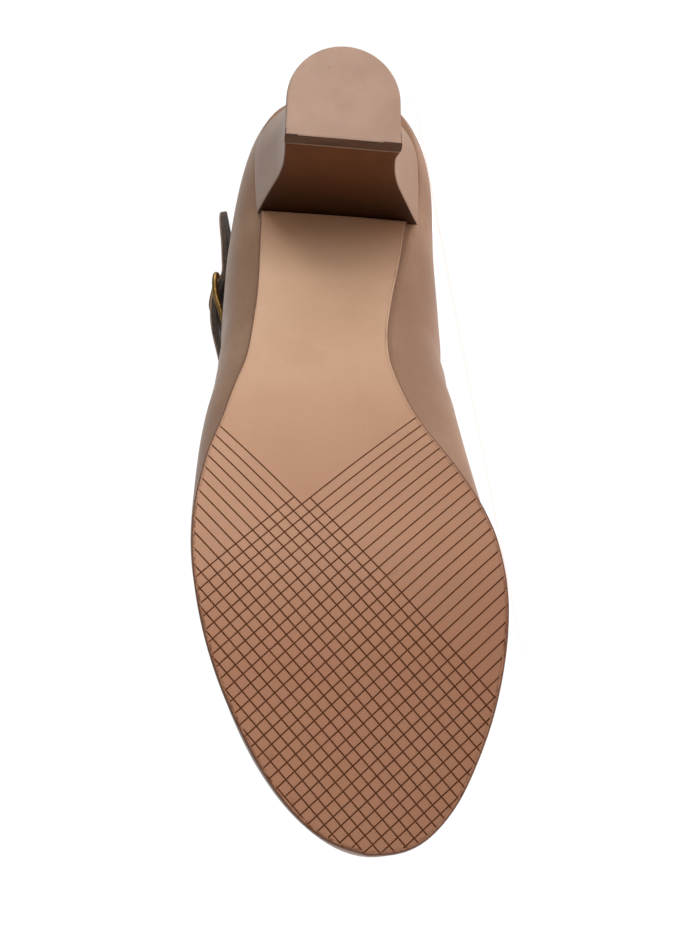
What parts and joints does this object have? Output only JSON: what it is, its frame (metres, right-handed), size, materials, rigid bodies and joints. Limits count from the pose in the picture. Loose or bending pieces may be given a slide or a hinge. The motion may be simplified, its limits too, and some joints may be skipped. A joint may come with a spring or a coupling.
{
  "type": "character dance shoe",
  "caption": "Left character dance shoe with a curved heel, grooved tan sole and a buckled instep strap, lying on its inner side.",
  "frame": {"origin": "middle of the box that holds the shoe, on the floor it lies on", "axes": "toe to -X, heel to +X, the sole faces -Y (turned 11 degrees down towards the floor), the outer (buckle) side up to +Z"},
  "size_m": [0.2402, 0.1212, 0.0782],
  "materials": {
    "upper_leather": "smooth satin tan-taupe leather",
    "sole_leather": "satin tan sole leather with a dyed edge",
    "heel_wrap": "satin brown-tan cover, dark on the breast",
    "lift_rubber": "matt tan rubber",
    "insole_leather": "matt lining leather",
    "strap_leather": "satin taupe leather, dark inside",
    "buckle_brass": "antique brass, satin",
    "tab_leather": "dark taupe leather"
  },
  "bodies": {
    "root": {"outsole": "sole_leather", "heel": "heel_wrap", "top_lift": "lift_rubber", "upper": "upper_leather", "insole": "insole_leather", "strap": "strap_leather", "buckle_frame": "buckle_brass", "buckle_prong": "buckle_brass", "buckle_tab": "tab_leather"}
  },
  "joints": []
}
